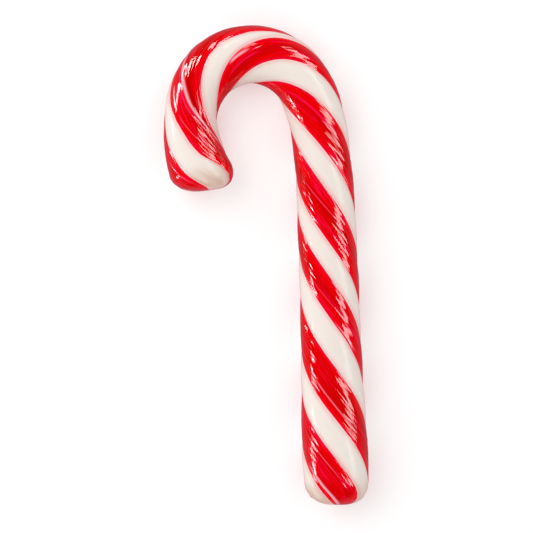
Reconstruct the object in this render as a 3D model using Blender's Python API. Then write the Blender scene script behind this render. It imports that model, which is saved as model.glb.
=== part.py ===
"""A candy cane: one thick stick of pulled sugar, twisted and bent into a hook.

The cane lies on its side. +Y runs from the foot of the straight shaft to the top
of the hook, +X points away from the hook's open side, and +Z is up. The origin is
on the surface the cane lies on, below the middle of the cane.

Lengths are in metres. Places along the cane are distances on its middle line,
measured from the cut foot. Around the cane, an angle is 0 on top and grows towards
the outer side of the hook.
"""

import math

import bmesh
import bpy
from mathutils import Vector

# --- Driving dimensions -----------------------------------------------------------

STICK_LENGTH = 0.1923                 # middle line, from foot to tip
SHAFT_LEAN = math.radians(2.6)        # the shaft leans towards the hook
FLAT_DEPTH = 0.0003                   # the underside is pressed flat by this much
STRAND_CROWN = 0.00024                # each sugar strand bulges by this much

# Bend of the middle line: (distance, one over the bend's radius).
BEND = (
    (0.000, -0.2), (0.050, -0.1), (0.096, 3.3), (0.1065, 10.4), (0.117, 25.1), (0.128, 56.5),
    (0.143, 56.3), (0.157, 57.3), (0.169, 38.5), (0.181, 25.0), (0.196, 2.0),
)
# Thickness of the stick: (distance, radius). It flares at both cut ends.
THICKNESS = (
    (0.000, 0.00945), (0.016, 0.00965), (0.038, 0.00905), (0.058, 0.00875), (0.082, 0.0086),
    (0.102, 0.0083), (0.125, 0.00835), (0.152, 0.00855), (0.169, 0.0078), (0.182, 0.0087),
    (0.196, 0.0101),
)
# Twist of the strands: (distance, degrees turned so far). It opens in the bend.
TWIST = (
    (0.000, 0), (0.032, 149), (0.064, 295), (0.096, 443), (0.117, 539), (0.134, 613),
    (0.152, 686), (0.169, 751), (0.181, 793), (0.196, 862),
)
# Red strands around the stick: (first edge, last edge) in degrees, untwisted.
RED_STRANDS = ((-7, 65), (119, 192), (250, 306))

FOOT_ROUNDING = 0.0067
FOOT_SLANT = math.radians(-3)         # the foot is cut this far out of square
TIP_ROUNDING = 0.0071
TIP_SLANT = math.radians(-18)
SLANT_REACH = 0.020                   # a slanted cut drags this length of stick with it

STRAND_SEGMENTS = 6                   # facets across one strand
ROUNDING_STEPS = 6                    # rings in each rounded end
RING_SPACING = 0.0022
INTEGRATION_STEP = 0.00025
SNAP_DISTANCE = 0.00008               # corners this close to the flat spot join it
WELD_DISTANCE = 0.00001
SHARP_ANGLE = math.radians(30)

RED_SUGAR = (0.62, 0.002, 0.004, 1.0)
WHITE_SUGAR = (0.86, 0.80, 0.74, 1.0)


# --- Form of the stick ------------------------------------------------------------

def smooth_value(stations, distance):
    """Read a smooth curve that passes through all stations."""
    slopes = []
    for i in range(len(stations)):
        before = stations[max(i - 1, 0)]
        after = stations[min(i + 1, len(stations) - 1)]
        slopes.append((after[1] - before[1]) / (after[0] - before[0]))
    i = 0
    while i < len(stations) - 2 and distance > stations[i + 1][0]:
        i += 1
    (start, low), (end, high) = stations[i], stations[i + 1]
    span = end - start
    t = (distance - start) / span
    return (
        low * (1 + 2 * t) * (1 - t) ** 2
        + slopes[i] * span * t * (1 - t) ** 2
        + high * t * t * (3 - 2 * t)
        + slopes[i + 1] * span * t * t * (t - 1)
    )


def middle_line(distances):
    """Walk along the bend and return a point and a heading for each distance."""
    stops = []
    point = Vector((0.0, 0.0))
    heading = math.pi / 2 + SHAFT_LEAN
    walked = 0.0
    for distance in distances:
        while walked < distance:
            step = min(INTEGRATION_STEP, distance - walked)
            turn = step * smooth_value(BEND, walked + step / 2)
            middle = heading + turn / 2
            point += step * Vector((math.cos(middle), math.sin(middle)))
            heading += turn
            walked += step
        stops.append((point.copy(), heading))
    return stops


def end_radius(radius, rounding, depth):
    """Radius of the stick at a small depth from a rounded end."""
    if depth >= rounding:
        return radius
    return radius - rounding + math.sqrt(rounding ** 2 - (rounding - depth) ** 2)


def stick_radius(distance):
    """Radius of the stick, rounded over at the foot and at the tip."""
    radius = smooth_value(THICKNESS, distance)
    radius = min(radius, end_radius(radius, FOOT_ROUNDING, distance))
    return min(radius, end_radius(radius, TIP_ROUNDING, STICK_LENGTH - distance))


def ring_distances():
    """Even rings along the stick, and closer ones around each rounded end."""
    angles = [math.pi / 2 * k / ROUNDING_STEPS for k in range(ROUNDING_STEPS)]
    foot = [FOOT_ROUNDING * (1 - math.cos(angle)) for angle in angles]
    tip = [STICK_LENGTH - TIP_ROUNDING * (1 - math.cos(angle)) for angle in angles]
    body_length = STICK_LENGTH - FOOT_ROUNDING - TIP_ROUNDING
    count = round(body_length / RING_SPACING)
    body = [FOOT_ROUNDING + body_length * k / count for k in range(count + 1)]
    return foot + body + tip[::-1]


def strand_edges():
    """All strand borders around the stick, with True where a red strand starts."""
    edges = []
    for first, last in RED_STRANDS:
        edges += [(math.radians(first), True), (math.radians(last), False)]
    return edges


# --- Building ---------------------------------------------------------------------

def new_collection(name):
    collection = bpy.data.collections.new(name)
    bpy.context.scene.collection.children.link(collection)
    return collection


def sugar_material(name, color):
    material = bpy.data.materials.new(name)
    material.use_nodes = True
    shader = material.node_tree.nodes["Principled BSDF"]
    shader.inputs["Base Color"].default_value = color
    shader.inputs["Roughness"].default_value = 0.15
    shader.inputs["Metallic"].default_value = 0.0
    return material


def strand_profile(guides):
    """The stick's section with radius 1 on each strand's crown, as a guide curve."""
    edges = strand_edges()
    crown = STRAND_CROWN / smooth_value(THICKNESS, STICK_LENGTH / 2)
    points = []
    for i, (start, _) in enumerate(edges):
        end = edges[i + 1][0] if i + 1 < len(edges) else edges[0][0] + 2 * math.pi
        for k in range(STRAND_SEGMENTS):
            t = k / STRAND_SEGMENTS
            angle = start + (end - start) * t
            radius = 1 - crown * (1 - math.sin(math.pi * t))
            points.append((radius * math.sin(angle), radius * math.cos(angle)))
    curve = bpy.data.curves.new("strand_profile", "CURVE")
    spline = curve.splines.new("POLY")
    spline.points.add(len(points) - 1)
    for spline_point, (x, y) in zip(spline.points, points):
        spline_point.co = (x, y, 0, 1)
    spline.use_cyclic_u = True
    profile = bpy.data.objects.new("strand_profile", curve)
    profile.hide_render = True
    profile.display_type = "WIRE"
    guides.objects.link(profile)
    return profile


def stick_curve(distances, profile, guides):
    """The bent stick as a curve, thick and twisted as its stations say."""
    curve = bpy.data.curves.new("stick", "CURVE")
    curve.dimensions = "3D"
    curve.twist_mode = "Z_UP"
    curve.bevel_mode = "OBJECT"
    curve.bevel_object = profile
    curve.use_fill_caps = True
    spline = curve.splines.new("POLY")
    spline.points.add(len(distances) - 1)
    stops = middle_line(distances)
    for spline_point, distance, (point, _) in zip(spline.points, distances, stops):
        height = smooth_value(THICKNESS, distance) - FLAT_DEPTH
        spline_point.co = (point.x, point.y, height, 1)
        spline_point.radius = stick_radius(distance)
        spline_point.tilt = -math.radians(smooth_value(TWIST, distance))
    stick = bpy.data.objects.new("stick", curve)
    guides.objects.link(stick)
    return stick


def curve_to_mesh(curve_object, name):
    """A closed mesh object made from a bevelled curve with caps."""
    bpy.context.view_layer.update()
    evaluated = curve_object.evaluated_get(bpy.context.evaluated_depsgraph_get())
    mesh = bpy.data.meshes.new_from_object(evaluated)
    mesh.name = name
    edit = bmesh.new()
    edit.from_mesh(mesh)
    bmesh.ops.remove_doubles(edit, verts=edit.verts, dist=WELD_DISTANCE)
    bmesh.ops.recalc_face_normals(edit, faces=edit.faces)
    edit.to_mesh(mesh)
    edit.free()
    result = bpy.data.objects.new(name, mesh)
    result.matrix_world = curve_object.matrix_world.copy()
    return result


def paint_strands(mesh, distances):
    """Give each face the red or the white sugar by its angle around the stick."""
    stops = middle_line(distances)
    edges = strand_edges()
    for face in mesh.polygons:
        center = face.center
        flat = Vector((center.x, center.y))
        nearest = min(range(len(stops)), key=lambda i: (stops[i][0] - flat).length_squared)
        point, heading = stops[nearest]
        along = Vector((math.cos(heading), math.sin(heading)))
        outward = Vector((math.sin(heading), -math.cos(heading)))
        distance = distances[nearest] + (flat - point).dot(along)
        distance = min(max(distance, 0.0), STICK_LENGTH)
        height = smooth_value(THICKNESS, distance) - FLAT_DEPTH
        around = math.atan2((flat - point).dot(outward), center.z - height)
        angle = around + math.radians(smooth_value(TWIST, distance))
        turned = (angle - edges[0][0]) % (2 * math.pi) + edges[0][0]
        is_red = False
        for start, starts_red in edges:
            if turned >= start:
                is_red = starts_red
        face.material_index = 1 if is_red else 0


def slant_end(mesh, end_distance, inward, angle):
    """Lean a square end face by sliding its corners along the stick."""
    point, heading = middle_line([end_distance])[0]
    along = Vector((math.cos(heading), math.sin(heading)))
    outward = Vector((math.sin(heading), -math.cos(heading)))
    for vertex in mesh.vertices:
        offset = Vector((vertex.co.x, vertex.co.y)) - point
        depth = offset.dot(along) * inward
        across = offset.dot(outward)
        if offset.length > SLANT_REACH:
            continue
        share = (1 - max(depth, 0.0) / SLANT_REACH) ** 2
        slide = along * across * math.tan(angle) * share
        vertex.co.x += slide.x
        vertex.co.y += slide.y


def press_flat(mesh):
    """Cut the underside off level and close it, so that the cane lies still."""
    edit = bmesh.new()
    edit.from_mesh(mesh)
    bmesh.ops.bisect_plane(
        edit,
        geom=edit.verts[:] + edit.edges[:] + edit.faces[:],
        dist=SNAP_DISTANCE,
        plane_co=(0, 0, 0),
        plane_no=(0, 0, -1),
        use_snap_center=True,
        clear_outer=True,
    )
    open_edges = [edge for edge in edit.edges if edge.is_boundary]
    bmesh.ops.holes_fill(edit, edges=open_edges)
    edit.to_mesh(mesh)
    edit.free()


def build_cane():
    cane_parts = new_collection("candy_cane")
    guides = new_collection("guides")
    distances = ring_distances()
    profile = strand_profile(guides)
    stick = stick_curve(distances, profile, guides)
    cane = curve_to_mesh(stick, "candy_cane")
    cane_parts.objects.link(cane)
    bpy.data.objects.remove(stick)
    bpy.data.objects.remove(profile)

    mesh = cane.data
    mesh.materials.clear()
    mesh.materials.append(sugar_material("white_sugar", WHITE_SUGAR))
    mesh.materials.append(sugar_material("red_sugar", RED_SUGAR))
    paint_strands(mesh, distances)
    slant_end(mesh, 0.0, 1, FOOT_SLANT)
    slant_end(mesh, STICK_LENGTH, -1, TIP_SLANT)
    press_flat(mesh)
    mesh.shade_smooth()
    mesh.set_sharp_from_angle(angle=SHARP_ANGLE)

    corners = [vertex.co for vertex in mesh.vertices]
    middle_x = (min(c.x for c in corners) + max(c.x for c in corners)) / 2
    middle_y = (min(c.y for c in corners) + max(c.y for c in corners)) / 2
    cane.location = (-middle_x, -middle_y, 0.0)
    return cane


def main():
    for item in list(bpy.data.objects):
        bpy.data.objects.remove(item)
    build_cane()


main()
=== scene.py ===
"""A candy cane of pulled sugar, red and white strands twisted into one stick.

The cane lies on its side on a pale table. +Y runs from the foot of the straight
shaft to the top of the hook, +X points away from the hook's open side, +Z is up.
Lengths are in metres. Places along the stick are distances on its middle line from
the cut foot. Around the stick, an angle is 0 on top and grows towards the hook's
outer side. A sugar angle is the same angle on the stick before it was twisted.
"""

import math

import bmesh
import bpy
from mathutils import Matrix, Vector, noise


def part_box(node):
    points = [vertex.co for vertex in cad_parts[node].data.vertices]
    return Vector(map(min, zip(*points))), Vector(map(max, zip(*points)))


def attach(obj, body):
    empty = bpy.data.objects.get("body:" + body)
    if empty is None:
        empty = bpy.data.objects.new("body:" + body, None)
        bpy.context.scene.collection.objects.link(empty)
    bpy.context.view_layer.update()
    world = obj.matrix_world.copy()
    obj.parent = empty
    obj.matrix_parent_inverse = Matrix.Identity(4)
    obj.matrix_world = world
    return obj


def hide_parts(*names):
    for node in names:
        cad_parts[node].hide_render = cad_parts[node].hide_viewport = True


bl_info = {
    "name": "Pulled Sugar Candy Cane",
    "version": (1, 0, 0),
    "blender": (4, 5, 0),
    "location": "3D Viewport > Sidebar > Candy Cane",
    "description": "Models a twisted red and white candy cane and the table it lies on",
    "category": "Object",
}

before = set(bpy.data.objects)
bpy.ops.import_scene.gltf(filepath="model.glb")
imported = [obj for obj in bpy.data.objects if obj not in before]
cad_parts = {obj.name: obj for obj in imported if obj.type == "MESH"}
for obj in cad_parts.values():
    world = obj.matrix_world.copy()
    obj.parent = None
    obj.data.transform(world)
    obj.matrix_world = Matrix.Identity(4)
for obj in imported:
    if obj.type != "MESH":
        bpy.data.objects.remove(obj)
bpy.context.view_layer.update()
CANE_LOW, CANE_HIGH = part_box("candy_cane")

MM = 0.001

# --- Form of the stick ------------------------------------------------------------

STICK_LENGTH = 0.1923                 # middle line, from foot to tip
SHAFT_LEAN = math.radians(2.6)        # the shaft leans towards the hook
FLAT_DEPTH = 0.0003                   # the underside is pressed flat by this much

# Bend of the middle line: (distance, one over the bend's radius).
BEND = (
    (0.000, -0.2), (0.050, -0.1), (0.096, 3.3), (0.1065, 10.4), (0.117, 25.1), (0.128, 56.5),
    (0.143, 56.3), (0.157, 57.3), (0.169, 38.5), (0.181, 25.0), (0.196, 2.0),
)
# Thickness of the stick: (distance, radius). It flares at both cut ends.
THICKNESS = (
    (0.000, 0.00945), (0.016, 0.00965), (0.038, 0.00905), (0.058, 0.00875), (0.082, 0.0086),
    (0.102, 0.0083), (0.125, 0.00835), (0.152, 0.00855), (0.169, 0.0078), (0.182, 0.0087),
    (0.196, 0.0101),
)
# Twist of the strands: (distance, degrees turned so far). It opens in the bend.
TWIST = (
    (0.000, 7), (0.012, 56.5), (0.032, 149), (0.064, 295), (0.096, 443), (0.117, 539),
    (0.134, 613), (0.152, 686), (0.169, 751), (0.181, 793), (0.196, 862),
)
# Borders between strands, in sugar degrees; a red strand starts at every other one.
# Each has its swerves: (distance, reach either way, degrees).
BORDERS = (
    (-7, ((0.133, 0.021, -27), (0.180, 0.010, -7))),
    (65, ((0.163, 0.013, 20), (0.190, 0.009, -18))),
    (119, ((0.189, 0.008, 7),)),
    (192, ((0.185, 0.010, 9),)),
    (250, ()),
    (306, ((0.000, 0.010, -14),)),
)
# Fold in the first red strand, in the hook: (distance, sugar degrees) and half its width.
FOLD = (
    (0.146, 66), (0.1545, 58), (0.1580, 49.5), (0.1604, 40), (0.1632, 32), (0.1668, 25),
    (0.1708, 15), (0.1740, 7), (0.1764, 2.5), (0.1784, -2), (0.1825, -9),
)
FOLD_WIDTH = ((0.146, 0.00035), (0.158, 0.0007), (0.166, 0.0006), (0.173, 0.00042), (0.184, 0.0002))

# Creases across the strands: (start, end), sugar degrees, half the width and depth.
CREASES = (
    ((0.1410, 0.1500), 304.5, 0.00045, 0.00020),
)
# Streaks drawn out in the red, mostly of air: start and end, each as (distance, sugar degrees),
# half the width, and how pale they are. The pale streak from 0.142 to 0.1495 is a painted
# highlight.
STREAKS = (
    ((0.0000, 8.5), (0.0130, 0), 0.00090, 1.0),
    ((0.0070, 45), (0.0230, 40), 0.00035, 0.2),
    ((0.0200, 137), (0.0400, 137), 0.00045, 0.4),
    ((0.0440, 256.8), (0.0535, 252.6), 0.00024, 1.0),
    ((0.0530, 274), (0.0680, 265), 0.00025, 0.1),
    ((0.0600, 253.6), (0.0670, 251.8), 0.00024, 1.0),
    ((0.0790, 41), (0.0970, 30), 0.00035, 0.1),
    ((0.0810, -1.0), (0.0890, -4.4), 0.00024, 1.0),
    ((0.0955, 126.8), (0.1020, 122.8), 0.00024, 0.9),
    ((0.1050, 163), (0.1270, 172), 0.00060, 0.0),
    ((0.1380, 277), (0.1530, 287), 0.00060, 0.0),
    # Painted highlight: a pale pink streak put where the crease's edge catches a glint.
    ((0.1420, 293.2), (0.1495, 301.9), 0.00080, 1.0),
    ((0.1620, 48), (0.1730, 23), 0.00030, 0.1),
    ((0.1690, 61), (0.1810, 36), 0.00030, 0.2),
    ((0.1800, 138), (0.1910, 137), 0.00035, 0.2),
)
STREAK_TAPER = 0.30                   # share of a streak's length over which it thins out

FOOT_ROUNDING = 0.0067
FOOT_SLANT = math.radians(-3)         # the foot is cut this far out of square
TIP_ROUNDING = 0.0071
TIP_SLANT = math.radians(-18)
SLANT_REACH = 0.020                   # a slanted cut drags this length of stick with it
INTEGRATION_STEP = 0.00025

ROUNDING_RINGS = 24                   # rings over each rounded end
FACE_RINGS = 6                        # rings across each cut face
FACE_HOLE = 0.06                      # share of the cut face left for its middle point


def smooth_value(stations, distance):
    """Read a smooth curve that passes through all stations."""
    slopes = []
    for i in range(len(stations)):
        before = stations[max(i - 1, 0)]
        after = stations[min(i + 1, len(stations) - 1)]
        slopes.append((after[1] - before[1]) / (after[0] - before[0]))
    i = 0
    while i < len(stations) - 2 and distance > stations[i + 1][0]:
        i += 1
    (start, low), (end, high) = stations[i], stations[i + 1]
    span = end - start
    t = (distance - start) / span
    return (
        low * (1 + 2 * t) * (1 - t) ** 2
        + slopes[i] * span * t * (1 - t) ** 2
        + high * t * t * (3 - 2 * t)
        + slopes[i + 1] * span * t * t * (t - 1)
    )


def bump(offset, reach):
    """A smooth hump, 1 in the middle and 0 from reach outwards."""
    share = min(abs(offset) / reach, 1.0)
    return (1 - share * share) ** 2


def ease(value, start, end):
    """Rise smoothly from 0 at start to 1 at end."""
    t = min(max((value - start) / (end - start), 0.0), 1.0)
    return t * t * (3 - 2 * t)


def between(value, start, end):
    """Share of the way from start to end."""
    return (value - start) / (end - start)


def middle_line(distances):
    """Walk along the bend and return a point and a heading for each distance."""
    stops = []
    point = Vector((0.0, 0.0))
    heading = math.pi / 2 + SHAFT_LEAN
    walked = 0.0
    for distance in distances:
        while walked < distance:
            step = min(INTEGRATION_STEP, distance - walked)
            turn = step * smooth_value(BEND, walked + step / 2)
            middle = heading + turn / 2
            point += step * Vector((math.cos(middle), math.sin(middle)))
            heading += turn
            walked += step
        stops.append((point.copy(), heading))
    return stops


def end_radius(radius, rounding, depth):
    """Radius of the stick at a small depth from a rounded end."""
    if depth >= rounding:
        return radius
    return radius - rounding + math.sqrt(rounding ** 2 - (rounding - depth) ** 2)


def stick_radius(distance):
    """Radius of the stick, rounded over at the foot and at the tip."""
    radius = smooth_value(THICKNESS, distance)
    radius = min(radius, end_radius(radius, FOOT_ROUNDING, distance))
    return min(radius, end_radius(radius, TIP_ROUNDING, STICK_LENGTH - distance))


def ring_plan(count):
    """Distance and share of the radius for each ring, from one cut face to the other."""
    angles = [math.pi / 2 * k / ROUNDING_RINGS for k in range(ROUNDING_RINGS)]
    foot = [(FOOT_ROUNDING * (1 - math.cos(angle)), 1.0) for angle in angles]
    tip = [(STICK_LENGTH - TIP_ROUNDING * (1 - math.cos(angle)), 1.0) for angle in angles]
    body_length = STICK_LENGTH - FOOT_ROUNDING - TIP_ROUNDING
    body = [(FOOT_ROUNDING + body_length * k / count, 1.0) for k in range(count + 1)]
    shares = [FACE_HOLE + (1 - FACE_HOLE) * k / FACE_RINGS for k in range(FACE_RINGS)]
    foot_face = [(0.0, share) for share in shares]
    tip_face = [(STICK_LENGTH, share) for share in shares[::-1]]
    return foot_face + foot + body + tip[::-1] + tip_face


def border_angle(index, distance):
    """Sugar angle of one border at a distance, with its swerves."""
    turns, number = divmod(index, len(BORDERS))
    degrees, swerves = BORDERS[number]
    for place, reach, swerve in swerves:
        degrees += swerve * bump(distance - place, reach)
    return math.radians(degrees) + turns * 2 * math.pi


def strand_columns(columns):
    """For each column of the mesh, its strand and how far across the strand it is."""
    starts = [round(degrees / 360 * columns) for degrees, _ in BORDERS]
    starts.append(starts[0] + columns)
    places = []
    for strand in range(len(BORDERS)):
        width = starts[strand + 1] - starts[strand]
        places += [(strand, k / width) for k in range(width)]
    return places


# --- Settings ---------------------------------------------------------------------

class SugarSettings(bpy.types.PropertyGroup):
    """Relief and colours of the pulled sugar."""

    columns: bpy.props.IntProperty(
        name="Columns", description="Faces around the stick", default=360, min=96, max=400,
    )
    rings: bpy.props.IntProperty(
        name="Rings", description="Faces along the stick between its rounded ends",
        default=210, min=60, max=300,
    )
    crown: bpy.props.FloatProperty(
        name="Strand Crown", description="How far each strand bulges between its borders",
        default=0.26 * MM, min=0.0, unit="LENGTH", precision=5,
    )
    seam_depth: bpy.props.FloatProperty(
        name="Seam Depth", description="Depth of the fine seam between two strands",
        default=0.10 * MM, min=0.0, unit="LENGTH", precision=5,
    )
    ridge_height: bpy.props.FloatProperty(
        name="Ridge Height", description="Height of the pulled ridges on the red strands",
        default=0.070 * MM, min=0.0, unit="LENGTH", precision=5,
    )
    fold_height: bpy.props.FloatProperty(
        name="Fold Height", description="Height of the fold on the hook's red strand",
        default=0.11 * MM, min=0.0, unit="LENGTH", precision=5,
    )
    red: bpy.props.FloatVectorProperty(
        name="Red", description="Bright red sugar", subtype="COLOR", size=3,
        min=0.0, max=1.0, default=(0.98, 0.0, 0.001),
    )
    deep_red: bpy.props.FloatVectorProperty(
        name="Deep Red", description="Red sugar where it is thickest", subtype="COLOR", size=3,
        min=0.0, max=1.0, default=(0.68, 0.0, 0.0005),
    )
    pulled_pink: bpy.props.FloatVectorProperty(
        name="Pulled Pink", description="Threads of air drawn out in the red sugar",
        subtype="COLOR", size=3, min=0.0, max=1.0, default=(1.0, 0.004, 0.07),
    )
    cream: bpy.props.FloatVectorProperty(
        name="Cream", description="White sugar", subtype="COLOR", size=3,
        min=0.0, max=1.0, default=(0.885, 0.80, 0.735),
    )
    blush: bpy.props.FloatVectorProperty(
        name="Blush", description="White sugar stained by the red beside it",
        subtype="COLOR", size=3, min=0.0, max=1.0, default=(0.89, 0.50, 0.47),
    )
    # Fold Pink is pale sugar in the fold, and it also colours the painted highlight streak beside
    # the hook's crease.
    pale_sugar_and_glint: bpy.props.FloatVectorProperty(
        name="Fold Pink", description="Pale sugar in the fold of the hook's red strand",
        subtype="COLOR", size=3, min=0.0, max=1.0, default=(0.93, 0.45, 0.52),
    )
    # Crease Red is painted shade: dark red put in the groove beside the fold, where shade falls.
    crease_shade_red: bpy.props.FloatVectorProperty(
        name="Crease Red", description="Dark sugar in the crease beside the fold",
        subtype="COLOR", size=3, min=0.0, max=1.0, default=(0.50, 0.0, 0.0),
    )
    # The seam's pale pink is a painted highlight: a thin pale line put along each seam where its
    # edge catches light.
    seam_highlight_pink: bpy.props.FloatVectorProperty(
        name="Seam Pink", description="Pale line where two strands meet",
        subtype="COLOR", size=3, min=0.0, max=1.0, default=(1.0, 0.70, 0.68),
    )
    # Toffee is painted shade: tan put on the white sugar near the cut ends, where the rounded ends
    # fall into shade.
    end_shade_tan: bpy.props.FloatVectorProperty(
        name="Toffee", description="White sugar browned at the cut ends",
        subtype="COLOR", size=3, min=0.0, max=1.0, default=(0.66, 0.42, 0.28),
    )


class StageSettings(bpy.types.PropertyGroup):
    """Table, light and camera."""

    table: bpy.props.FloatVectorProperty(
        name="Table", description="Colour of the table", subtype="COLOR", size=3,
        min=0.0, max=1.0, default=(0.66, 0.66, 0.66),
    )
    mirrored_table: bpy.props.FloatProperty(
        name="Mirrored Table", description="Brightness of the table in the sugar's gloss",
        default=0.12, min=0.0, max=1.0,
    )
    table_glow: bpy.props.FloatProperty(
        name="Table Glow", description="Light that comes up through the table",
        default=0.40, min=0.0,
    )
    fill_power: bpy.props.FloatProperty(
        name="Fill Light", description="Power of the wide light overhead",
        default=5.0, min=0.0, unit="POWER",
    )
    softbox_power: bpy.props.FloatProperty(
        name="Softbox", description="Power of the softbox at the outer side",
        default=5.0, min=0.0, unit="POWER",
    )
    window_power: bpy.props.FloatProperty(
        name="Window", description="Power of the low light beside the hook's bend",
        default=2.1, min=0.0, unit="POWER",
    )
    strip_power: bpy.props.FloatProperty(
        name="Strip Light", description="Power of the low light beside the foot",
        default=0.7, min=0.0, unit="POWER",
    )
    kicker_power: bpy.props.FloatProperty(
        name="Kicker", description="Power of the small light beyond the hook",
        default=0.65, min=0.0, unit="POWER",
    )
    dome: bpy.props.FloatProperty(
        name="Dome", description="Brightness of the pale surroundings",
        default=0.78, min=0.0,
    )
    lens: bpy.props.FloatProperty(
        name="Lens", description="Focal length of the camera in millimetres",
        default=180.0, min=20.0,
    )
    view_width: bpy.props.FloatProperty(
        name="View Width", description="Width of the view at the cane's middle height",
        default=0.15546, min=0.02, unit="LENGTH",
    )


# --- Sugar mesh -------------------------------------------------------------------

# Pulled relief: how often it changes, across and along the strands.
WIDE_RIDGES = (0.32 / MM, 0.022 / MM)
THREAD_RIDGES = (0.70 / MM, 0.050 / MM)
HAIR_RIDGES = (1.5 / MM, 0.11 / MM)
RIDGE_PATCHES = (0.28 / MM, 0.06 / MM)
THREAD_SHARE = 3.0                              # height of each against the wide ridges
HAIR_SHARE = 1.7
LUMP_SCALE = 0.075 / MM
LUMP_HEIGHT = 0.10 * MM
WHITE_RIDGE_SHARE = 0.25
SEAM_WIDTH = 0.60 * MM
FOLD_EDGE = 1.5                                 # widths from the fold's middle to its foot
FOLD_GROOVE = 2.3                               # widths from the fold's middle to its grooves
FOLD_REACH = 5.0
FOLD_RIDGES = 0.35                              # extra ridge height beside the fold
STREAK_CRISP = 0.4                              # width of a streak's crisp side
STREAK_HEIGHT = 0.03 * MM
RIM_DEPTH = 1.6 * MM                            # the crumpled rim lies this far up each end
RIM_WIDTH = 0.9 * MM
RIM_HEIGHT = 0.20 * MM
RIM_SCALE = 0.55 / MM
FACE_CROWN = 0.25 * MM                          # the cut faces bulge by this much


def straight_tube(edit, columns, count):
    """An open tube along Z, its corners listed ring by ring and column by column."""
    bmesh.ops.create_cone(
        edit, cap_ends=False, segments=columns, radius1=1.0, radius2=1.0, depth=count - 1,
    )
    sides = [edge for edge in edit.edges if edge.verts[0].co.z != edge.verts[1].co.z]
    bmesh.ops.subdivide_edges(edit, edges=sides, cuts=count - 2)
    rings = [[None] * columns for _ in range(count)]
    for corner in edit.verts:
        ring = round(corner.co.z + (count - 1) / 2)
        turn = math.atan2(corner.co.y, corner.co.x) / (2 * math.pi)
        rings[ring][round(turn * columns) % columns] = corner
    return rings


def drawn_noise(spot, scales):
    """Noise drawn out along the strands, about -0.8 to 0.8."""
    across, along = scales
    return noise.noise(Vector((spot.x * across, spot.y * across, spot.z * along)))


def ridge_height(spot):
    """Height of the pulled ridges at a spot on the straight stick, about -1 to 1."""
    patch = ease(drawn_noise(spot, RIDGE_PATCHES), -0.20, 0.25)
    height = drawn_noise(spot, WIDE_RIDGES)
    height -= THREAD_SHARE * (abs(drawn_noise(spot, THREAD_RIDGES)) - 0.2)
    return height - HAIR_SHARE * patch * (abs(drawn_noise(spot, HAIR_RIDGES)) - 0.2)


def streaks_at(distance):
    """Angle, half width, strength and paleness of each streak at a distance."""
    found = []
    for (start, low), (end, high), width, pale in STREAKS:
        share = between(distance, start, end)
        if 0 < share < 1 or start == 0:
            strength = min(ease(1 - share, 0, STREAK_TAPER), 1.0)
            if start > 0:
                strength *= ease(share, 0, STREAK_TAPER)
            found.append((math.radians(low + (high - low) * share), width, strength, pale))
    return found


def creases_at(distance):
    """Angle, half width and depth of each crease at a distance."""
    found = []
    for (start, end), degrees, width, depth in CREASES:
        depth *= bump(distance - (start + end) / 2, (end - start) / 2)
        if depth > 0:
            found.append((math.radians(degrees), width, depth))
    return found


def rim_height(distance, spot):
    """Height of the crumpled rim near both cut ends."""
    depth = min(distance, STICK_LENGTH - distance)
    wave = noise.noise(spot * RIM_SCALE)
    place = RIM_DEPTH + wave * RIM_WIDTH
    return bump(depth - place, RIM_WIDTH) * (0.6 + wave)


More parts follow.
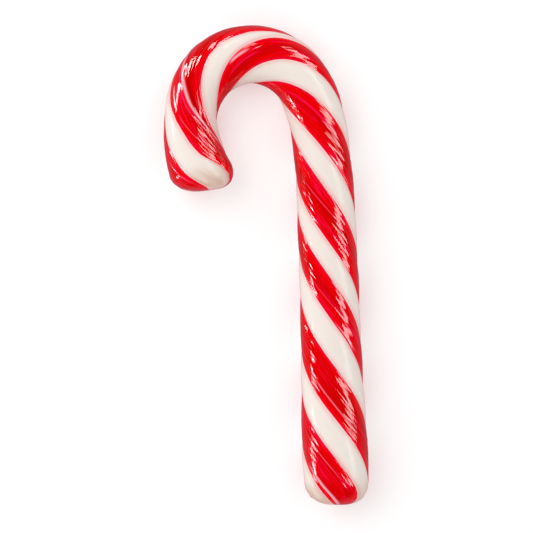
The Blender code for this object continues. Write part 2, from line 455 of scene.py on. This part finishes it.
def build_sugar(settings):
    """Twist, bend and crown a straight tube into the cane, closed at both ends."""
    plan = ring_plan(settings.rings)
    places = strand_columns(settings.columns)
    stops = middle_line([distance for distance, _ in plan])
    edit = bmesh.new()
    reach_layer = edit.verts.layers.float.new("red_reach")
    fold_layer = edit.verts.layers.float.new("fold")
    streak_layer = edit.verts.layers.float_vector.new("streak")
    end_layer = edit.verts.layers.float.new("cut_end")
    straight_layer = edit.verts.layers.float_vector.new("straight_sugar")
    rings = straight_tube(edit, settings.columns, len(plan))

    for corners, (distance, share), (point, heading) in zip(rings, plan, stops):
        across = Vector((math.sin(heading), -math.cos(heading), 0.0))
        along = Vector((math.cos(heading), math.sin(heading), 0.0))
        body = smooth_value(THICKNESS, distance)
        middle = Vector((point.x, point.y, body - FLAT_DEPTH))
        twist = math.radians(smooth_value(TWIST, distance))
        radius = stick_radius(distance) * share
        turn_rate = smooth_value(TWIST, distance + MM) - smooth_value(TWIST, distance - MM)
        lay = math.cos(math.atan(body * math.radians(turn_rate) / (2 * MM)))
        fold_angle = math.radians(smooth_value(FOLD, distance))
        fold_share = ease(distance, FOLD[0][0], FOLD[1][0])
        fold_share *= 1 - ease(distance, FOLD[-2][0], FOLD[-1][0])
        fold_width = smooth_value(FOLD_WIDTH, distance)
        streaks = streaks_at(distance)
        creases = creases_at(distance)
        end_depth = min(distance, STICK_LENGTH - distance) + body * (1 - radius / body)
        for corner, (strand, t) in zip(corners, places):
            start = border_angle(strand, distance)
            end = border_angle(strand + 1, distance)
            sugar = start + (end - start) * t
            spot = Vector((radius * math.cos(sugar), radius * math.sin(sugar), distance))
            reach = min(t, 1 - t) * (end - start) * radius * lay
            is_red = strand % 2 == 0

            height = -settings.crown * (1 - math.sin(math.pi * t))
            height -= settings.seam_depth * bump(reach, SEAM_WIDTH)
            ridge_share = 1.0 if is_red else WHITE_RIDGE_SHARE
            fold = (sugar - fold_angle) * radius * lay / fold_width
            if strand == 0:
                relief = bump(fold, FOLD_EDGE) - 0.6 * bump(fold + FOLD_GROOVE, FOLD_EDGE)
                relief -= 0.4 * bump(fold - FOLD_GROOVE, FOLD_EDGE)
                ridge_share += FOLD_RIDGES * fold_share
                height += settings.fold_height * fold_share * relief
            height += settings.ridge_height * ridge_share * ridge_height(spot)
            streak = pale = 0.0
            for streak_angle, width, strength, paleness in streaks:
                off = (sugar - streak_angle) * radius * lay / width
                share = strength * bump(off, STREAK_CRISP if off < 0 else 1.0)
                if is_red and share > streak:
                    streak, pale = share, paleness
            height += STREAK_HEIGHT * streak
            for crease_angle, width, depth in creases:
                height -= depth * bump((sugar - crease_angle) * radius * lay, width)
            height += LUMP_HEIGHT * noise.noise(spot * LUMP_SCALE)
            height += RIM_HEIGHT * rim_height(distance, spot)
            height *= radius / body

            angle = sugar - twist
            place = middle + (radius + height) * (
                math.sin(angle) * across + math.cos(angle) * Vector((0.0, 0.0, 1.0))
            )
            corner.co = place
            corner[reach_layer] = (reach if is_red else -reach) / MM
            corner[fold_layer] = min(max(fold, -FOLD_REACH), FOLD_REACH)
            corner[streak_layer] = (streak, pale, fold_share if strand == 0 else 0.0)
            corner[end_layer] = end_depth / MM
            corner[straight_layer] = spot / MM
    return edit, rings


def slant_end(corners, end_distance, inward, angle):
    """Lean a square end face by sliding its corners along the stick."""
    point, heading = middle_line([end_distance])[0]
    along = Vector((math.cos(heading), math.sin(heading)))
    outward = Vector((math.sin(heading), -math.cos(heading)))
    for corner in corners:
        offset = Vector((corner.co.x, corner.co.y)) - point
        depth = offset.dot(along) * inward
        if offset.length > SLANT_REACH:
            continue
        share = (1 - max(depth, 0.0) / SLANT_REACH) ** 2
        slide = along * offset.dot(outward) * math.tan(angle) * share
        corner.co.x += slide.x
        corner.co.y += slide.y


def close_face(edit, ring, outward):
    """Fill the last ring of a cut face and draw its middle point out."""
    edges = [edge for edge in edit.edges if edge.is_boundary and edge.verts[0] in ring]
    face = bmesh.ops.contextual_create(edit, geom=edges)["faces"][0]
    middle = bmesh.ops.poke(edit, faces=[face])["verts"]
    bmesh.ops.translate(edit, verts=middle, vec=outward)


def press_flat(corners):
    """Press the underside level on the table."""
    for corner in corners:
        corner.co.z = max(corner.co.z, 0.0)


def centre_on_frame(edit):
    """Move the cane so that its box has the same middle as its solid's."""
    shift = (CANE_LOW + CANE_HIGH).to_2d() / 2 - middle_of([v.co for v in edit.verts])
    bmesh.ops.translate(edit, verts=edit.verts, vec=(*shift, CANE_LOW.z))


# --- Sugar material ---------------------------------------------------------------

def add_node(tree, kind, **values):
    """Add one node and set its own properties."""
    node = tree.nodes.new(kind)
    for name, value in values.items():
        setattr(node, name, value)
    return node


def plug(tree, value, socket):
    """Link a socket, or set a plain value on it."""
    if isinstance(value, bpy.types.NodeSocket):
        tree.links.new(value, socket)
    elif hasattr(value, "__len__") and len(value) == 3 and socket.type == "RGBA":
        socket.default_value = (*value, 1.0)
    else:
        socket.default_value = value


def math_of(tree, operation, first, second=0.0, third=0.0):
    """One Math node; returns its result."""
    node = add_node(tree, "ShaderNodeMath", operation=operation)
    for value, socket in zip((first, second, third), node.inputs):
        plug(tree, value, socket)
    return node.outputs["Value"]


def ramp_of(tree, value, low, high, low_out=0.0, high_out=1.0):
    """A value eased from low_out to high_out between low and high."""
    node = add_node(tree, "ShaderNodeMapRange", interpolation_type="SMOOTHSTEP")
    for name, setting in (
        ("Value", value), ("From Min", low), ("From Max", high),
        ("To Min", low_out), ("To Max", high_out),
    ):
        plug(tree, setting, node.inputs[name])
    return node.outputs["Result"]


def blend_of(tree, share, first, second):
    """A colour between first and second."""
    node = add_node(tree, "ShaderNodeMix", data_type="RGBA")
    plug(tree, share, node.inputs["Factor"])
    plug(tree, first, node.inputs["A"])
    plug(tree, second, node.inputs["B"])
    return node.outputs["Result"]


def attribute_of(tree, name, output="Fac"):
    node = add_node(tree, "ShaderNodeAttribute", attribute_name=name)
    return node.outputs[output]


def attribute_part(tree, name, axis):
    """One number of an attribute that holds three."""
    split = add_node(tree, "ShaderNodeSeparateXYZ")
    plug(tree, attribute_of(tree, name, "Vector"), split.inputs["Vector"])
    return split.outputs[axis]


def pulled_threads_group():
    """Long threads along the strands: a soft value and sharp threads."""
    name = "Pulled Threads"
    if name in bpy.data.node_groups:
        return bpy.data.node_groups[name]
    tree = bpy.data.node_groups.new(name, "ShaderNodeTree")
    face = tree.interface
    face.new_socket("Place", in_out="INPUT", socket_type="NodeSocketVector")
    for label, default in (("Across", 1.0), ("Along", 0.05), ("Detail", 2.0), ("Seed", 0.0)):
        socket = face.new_socket(label, in_out="INPUT", socket_type="NodeSocketFloat")
        socket.default_value = default
    face.new_socket("Soft", in_out="OUTPUT", socket_type="NodeSocketFloat")
    face.new_socket("Thread", in_out="OUTPUT", socket_type="NodeSocketFloat")
    given = add_node(tree, "NodeGroupInput").outputs
    result = add_node(tree, "NodeGroupOutput").inputs
    scale = add_node(tree, "ShaderNodeCombineXYZ")
    plug(tree, given["Across"], scale.inputs["X"])
    plug(tree, given["Across"], scale.inputs["Y"])
    plug(tree, given["Along"], scale.inputs["Z"])
    stretched = add_node(tree, "ShaderNodeVectorMath", operation="MULTIPLY")
    plug(tree, given["Place"], stretched.inputs[0])
    plug(tree, scale.outputs["Vector"], stretched.inputs[1])
    sugar = add_node(tree, "ShaderNodeTexNoise", noise_dimensions="4D")
    plug(tree, stretched.outputs["Vector"], sugar.inputs["Vector"])
    plug(tree, given["Seed"], sugar.inputs["W"])
    plug(tree, given["Detail"], sugar.inputs["Detail"])
    sugar.inputs["Scale"].default_value = 1.0
    plug(tree, sugar.outputs["Fac"], result["Soft"])
    crisp = ramp_of(tree, sugar.outputs["Fac"], 0.492, 0.508)
    faded = ramp_of(tree, sugar.outputs["Fac"], 0.50, 0.56, 1.0, 0.0)
    plug(tree, math_of(tree, "MULTIPLY", crisp, faded), result["Thread"])
    return tree


def threads_of(tree, place, across, along, seed, detail=2.0):
    """Place the threads group with its own scale; returns its outputs."""
    node = add_node(tree, "ShaderNodeGroup", node_tree=pulled_threads_group())
    plug(tree, place, node.inputs["Place"])
    node.inputs["Across"].default_value = across
    node.inputs["Along"].default_value = along
    node.inputs["Seed"].default_value = seed
    node.inputs["Detail"].default_value = detail
    return node.outputs


def sugar_material(settings):
    """Glossy striped sugar with drawn-out threads, stained seams with a painted highlight along
    them, and painted shade at the cut ends.
    """
    material = bpy.data.materials.new("striped_sugar")
    material.use_nodes = True
    tree = material.node_tree
    shader = tree.nodes["Principled BSDF"]
    place = attribute_of(tree, "straight_sugar", "Vector")
    reach = attribute_of(tree, "red_reach")
    fold = attribute_of(tree, "fold")
    streak = attribute_part(tree, "streak", "X")
    cut_end = attribute_of(tree, "cut_end")

    broad = threads_of(tree, place, 0.30, 0.028, 3.0)
    middle = threads_of(tree, place, 0.55, 0.045, 11.0)
    fine = threads_of(tree, place, 1.5, 0.07, 23.0, 3.0)
    hairs = threads_of(tree, place, 3.2, 0.16, 37.0, 1.0)

    # Red strands: deepest where they are thick, with pink threads, streaks of air and one pale
    # streak that is a painted highlight.
    thick = math_of(
        tree, "MULTIPLY", ramp_of(tree, reach, 0.6, 3.2),
        ramp_of(tree, broad["Soft"], 0.40, 0.62, 1.0, 0.35),
    )
    red = blend_of(tree, thick, settings.red, settings.deep_red)
    tone = ramp_of(tree, fine["Soft"], 0.35, 0.65, 0.0, 0.50)
    red = blend_of(tree, tone, red, settings.deep_red)
    threads = math_of(
        tree, "MULTIPLY", middle["Thread"], ramp_of(tree, broad["Soft"], 0.42, 0.56),
    )
    red = blend_of(tree, math_of(tree, "MULTIPLY", threads, 0.85), red, settings.pulled_pink)
    thin_edge = ramp_of(tree, reach, 0.2, 1.1, 0.35, 0.0)
    red = blend_of(tree, thin_edge, red, settings.pulled_pink)
    red = blend_of(tree, streak, red, settings.pulled_pink)
    # Pale streaks, one of which is a painted highlight beside the hook's crease.
    pale = math_of(tree, "MULTIPLY", streak, attribute_part(tree, "streak", "Y"))
    red = blend_of(tree, pale, red, settings.pale_sugar_and_glint)

    # The fold: a pale band between a bright line and dark red painted in its groove as shade.
    fold_share = attribute_part(tree, "streak", "Z")
    for middle_place, reach_place, tint in (
        (2.0, 0.7, settings.pulled_pink), (-2.3, 1.1, settings.crease_shade_red),
        (0.0, 1.3, settings.pale_sugar_and_glint),
    ):
        part = bump_of(tree, fold, middle_place, reach_place)
        red = blend_of(tree, math_of(tree, "MULTIPLY", part, fold_share), red, tint)

    # White strands: stained near the red, with tan painted shade near the cut ends.
    stain = ramp_of(tree, reach, -1.7, 0.0)
    stain = math_of(tree, "MULTIPLY", stain, ramp_of(tree, broad["Soft"], 0.3, 0.7, 0.6, 1.0))
    cream = blend_of(tree, stain, settings.cream, settings.blush)
    # Painted shade: tan laid on the white sugar, strongest near the cut ends.
    shaded = math_of(
        tree, "MULTIPLY", ramp_of(tree, cut_end, 1.0, 9.0, 1.0, 0.0),
        ramp_of(tree, broad["Soft"], 0.35, 0.65, 0.4, 1.0),
    )
    cream = blend_of(tree, shaded, cream, settings.end_shade_tan)

    # Where they meet: a crisp border that wanders a little, and a pale pink line painted along the
    # seam as the highlight its edge catches.
    wander = ramp_of(tree, fine["Soft"], 0.2, 0.8, -0.10, 0.10)
    edge = math_of(tree, "ADD", reach, wander)
    is_red = ramp_of(tree, edge, -0.05, 0.09)
    colour = blend_of(tree, is_red, cream, red)
    # Painted highlight: pale pink laid along the seam, just on the white side of the border.
    seam = bump_of(tree, edge, -0.12, 0.20)
    colour = blend_of(tree, math_of(tree, "MULTIPLY", seam, 0.75), colour, settings.seam_highlight_pink)
    plug(tree, colour, shader.inputs["Base Color"])

    # Surface: fine ridges under a wet shine, which the white strands hardly have.
    dull = ramp_of(tree, fine["Soft"], 0.3, 0.75, 0.05, 0.12)
    dull = math_of(tree, "ADD", dull, math_of(tree, "MULTIPLY_ADD", is_red, -0.42, 0.42))
    plug(tree, dull, shader.inputs["Roughness"])
    wet = math_of(tree, "MULTIPLY_ADD", is_red, 0.78, 0.22)
    plug(tree, wet, shader.inputs["Coat Weight"])
    relief = add_node(tree, "ShaderNodeBump")
    relief.inputs["Distance"].default_value = 0.05 * MM
    relief.inputs["Strength"].default_value = 1.0
    ridges = math_of(tree, "MULTIPLY_ADD", hairs["Soft"], 0.5, fine["Soft"])
    ridges = math_of(tree, "MULTIPLY", ridges, math_of(tree, "MULTIPLY_ADD", is_red, 0.8, 0.2))
    plug(tree, ridges, relief.inputs["Height"])
    plug(tree, relief.outputs["Normal"], shader.inputs["Normal"])
    shader.inputs["IOR"].default_value = 1.5
    shader.inputs["Specular IOR Level"].default_value = 0.12
    shader.inputs["Coat Roughness"].default_value = 0.03
    shader.inputs["Coat IOR"].default_value = 1.5
    shader.inputs["Sheen Weight"].default_value = 0.80
    shader.inputs["Sheen Roughness"].default_value = 0.30
    shader.inputs["Sheen Tint"].default_value = (1.0, 0.25, 0.36, 1.0)
    shader.inputs["Subsurface Weight"].default_value = 0.25
    shader.inputs["Subsurface Radius"].default_value = (1.0, 0.45, 0.30)
    shader.inputs["Subsurface Scale"].default_value = 1.5 * MM
    return material


def bump_of(tree, value, middle, reach):
    """A smooth hump of value around middle."""
    off = math_of(tree, "ABSOLUTE", math_of(tree, "SUBTRACT", value, middle))
    return ramp_of(tree, off, 0.0, reach, 1.0, 0.0)


class CANDYCANE_OT_sugar(bpy.types.Operator):
    """Model the twisted stick of red and white sugar"""

    bl_idname = "candy_cane.sugar"
    bl_label = "Twisted Sugar Stick"
    bl_options = {"REGISTER", "UNDO"}

    def execute(self, context):
        settings = context.scene.candy_cane_sugar
        edit, rings = build_sugar(settings)
        slant_end(edit.verts, 0.0, 1, FOOT_SLANT)
        slant_end(edit.verts, STICK_LENGTH, -1, TIP_SLANT)
        press_flat(edit.verts)
        stops = middle_line([0.0, STICK_LENGTH])
        for ring, (_, heading), way in zip((rings[0], rings[-1]), stops, (-1, 1)):
            outward = way * FACE_CROWN * Vector((math.cos(heading), math.sin(heading), 0.0))
            close_face(edit, set(ring), outward)
        centre_on_frame(edit)
        bmesh.ops.recalc_face_normals(edit, faces=edit.faces)
        mesh = bpy.data.meshes.new("pulled_sugar")
        edit.to_mesh(mesh)
        edit.free()
        mesh.shade_smooth()
        mesh.materials.append(sugar_material(settings))
        cane = bpy.data.objects.new("pulled_sugar", mesh)
        context.scene.collection.objects.link(cane)
        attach(cane, "root")
        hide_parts("candy_cane")
        return {"FINISHED"}


# --- Stage ------------------------------------------------------------------------

TABLE_SIZE = 6.0
TABLE_GAP = 0.00002                    # the table lies just under the flat underside
FILL_SIZE = 1.0
FILL_PLACE = Vector((-0.60, 0.35, 1.0))
SOFTBOX_SIZE = (0.87, 0.26)
SOFTBOX_PLACE = Vector((0.471, 0.195, 0.36))
WINDOW_SIZE = (0.32, 0.12)
WINDOW_PLACE = Vector((-0.433, 0.250, 0.10))
STRIP_SIZE = (0.14, 0.09)
STRIP_PLACE = Vector((-0.488, -0.110, 0.06))
KICKER_SIZE = (0.16, 0.14)
KICKER_PLACE = Vector((-0.114, 0.426, 0.235))
AIM = Vector((0.00015, -0.00044, 0.0095))
SENSOR_WIDTH = 36.0


def middle_of(places):
    """Middle of the box around some places, seen from above."""
    low = Vector((min(p.x for p in places), min(p.y for p in places)))
    high = Vector((max(p.x for p in places), max(p.y for p in places)))
    return (low + high) / 2


def table_material(settings):
    """Pale matt table with a faint unevenness, evenly dimmer where the gloss mirrors it."""
    material = bpy.data.materials.new("pale_table")
    material.use_nodes = True
    tree = material.node_tree
    shader = tree.nodes["Principled BSDF"]
    place = add_node(tree, "ShaderNodeTexCoord").outputs["Object"]
    grain = add_node(tree, "ShaderNodeTexNoise")
    plug(tree, place, grain.inputs["Vector"])
    grain.inputs["Scale"].default_value = 6.0
    shade = tuple(channel * 0.985 for channel in settings.table)
    pale = blend_of(tree, grain.outputs["Fac"], settings.table, shade)
    mirrored = add_node(tree, "ShaderNodeLightPath").outputs["Is Glossy Ray"]
    dim = (settings.mirrored_table,) * 3
    plug(tree, blend_of(tree, mirrored, pale, dim), shader.inputs["Base Color"])
    glow = math_of(tree, "MULTIPLY_ADD", mirrored, -settings.table_glow, settings.table_glow)
    plug(tree, glow, shader.inputs["Emission Strength"])
    shader.inputs["Emission Color"].default_value = (1.0, 1.0, 1.0, 1.0)
    shader.inputs["Roughness"].default_value = 0.85
    shader.inputs["Specular IOR Level"].default_value = 0.0
    return material


def add_light(context, name, power, size, place, target):
    """A rectangular area light that faces its target."""
    light = bpy.data.lights.new(name, "AREA")
    light.shape = "RECTANGLE"
    light.energy = power
    light.size, light.size_y = size
    lamp = bpy.data.objects.new(name, light)
    context.scene.collection.objects.link(lamp)
    lamp.location = place
    lamp.rotation_euler = (target - place).to_track_quat("-Z", "Y").to_euler()
    lamp.visible_camera = False
    return lamp


def studio_world(context, strength):
    """Pale surroundings that light the cane evenly and stay out of its gloss."""
    world = bpy.data.worlds.new("studio")
    world.use_nodes = True
    background = world.node_tree.nodes["Background"]
    background.inputs["Color"].default_value = (1.0, 1.0, 1.0, 1.0)
    background.inputs["Strength"].default_value = strength
    world.cycles_visibility.glossy = False
    context.scene.world = world


class CANDYCANE_OT_stage(bpy.types.Operator):
    """Set out the table, the lights and the camera"""

    bl_idname = "candy_cane.stage"
    bl_label = "Table, Light and Camera"
    bl_options = {"REGISTER", "UNDO"}

    def execute(self, context):
        settings = context.scene.candy_cane_stage
        scene = context.scene
        edit = bmesh.new()
        bmesh.ops.create_grid(edit, x_segments=1, y_segments=1, size=TABLE_SIZE / 2)
        bmesh.ops.translate(edit, verts=edit.verts, vec=(0.0, 0.0, -TABLE_GAP))
        mesh = bpy.data.meshes.new("table")
        edit.to_mesh(mesh)
        edit.free()
        mesh.materials.append(table_material(settings))
        table = bpy.data.objects.new("table", mesh)
        scene.collection.objects.link(table)

        fill = add_light(
            context, "fill", settings.fill_power, (FILL_SIZE, FILL_SIZE), FILL_PLACE, AIM,
        )
        fill.visible_glossy = False
        softbox = add_light(
            context, "softbox", settings.softbox_power, SOFTBOX_SIZE, SOFTBOX_PLACE, AIM,
        )
        window = add_light(
            context, "window", settings.window_power, WINDOW_SIZE, WINDOW_PLACE, AIM,
        )
        strip = add_light(
            context, "strip", settings.strip_power, STRIP_SIZE, STRIP_PLACE, AIM,
        )
        kicker = add_light(
            context, "kicker", settings.kicker_power, KICKER_SIZE, KICKER_PLACE, AIM,
        )
        for lamp in (softbox, window, strip, kicker):
            lamp.visible_diffuse = False
        studio_world(context, settings.dome)
        scene.view_settings.view_transform = "Standard"

        camera_data = bpy.data.cameras.new("camera")
        camera_data.lens = settings.lens
        camera_data.sensor_width = SENSOR_WIDTH
        camera_data.clip_start = 0.01
        camera_data.clip_end = 20.0
        camera = bpy.data.objects.new("camera", camera_data)
        scene.collection.objects.link(camera)
        away = settings.view_width * settings.lens / SENSOR_WIDTH
        camera.location = AIM + Vector((0.0, 0.0, away))
        scene.camera = camera
        return {"FINISHED"}


class CANDYCANE_PT_panel(bpy.types.Panel):
    """Lists the candy cane's pieces and their settings"""

    bl_idname = "CANDYCANE_PT_panel"
    bl_label = "Candy Cane"
    bl_space_type = "VIEW_3D"
    bl_region_type = "UI"
    bl_category = "Candy Cane"

    def draw(self, context):
        layout = self.layout
        for kind, group in (
            (CANDYCANE_OT_sugar, context.scene.candy_cane_sugar),
            (CANDYCANE_OT_stage, context.scene.candy_cane_stage),
        ):
            box = layout.box()
            for name in group.__annotations__:
                box.prop(group, name)
            box.operator(kind.bl_idname)


CLASSES = (
    SugarSettings, StageSettings, CANDYCANE_OT_sugar, CANDYCANE_OT_stage, CANDYCANE_PT_panel,
)


def register():
    for kind in CLASSES:
        bpy.utils.register_class(kind)
    bpy.types.Scene.candy_cane_sugar = bpy.props.PointerProperty(type=SugarSettings)
    bpy.types.Scene.candy_cane_stage = bpy.props.PointerProperty(type=StageSettings)


def unregister():
    del bpy.types.Scene.candy_cane_stage
    del bpy.types.Scene.candy_cane_sugar
    for kind in reversed(CLASSES):
        bpy.utils.unregister_class(kind)


def main():
    register()
    bpy.ops.candy_cane.sugar()
    bpy.ops.candy_cane.stage()


if __name__ == "__main__":
    main()
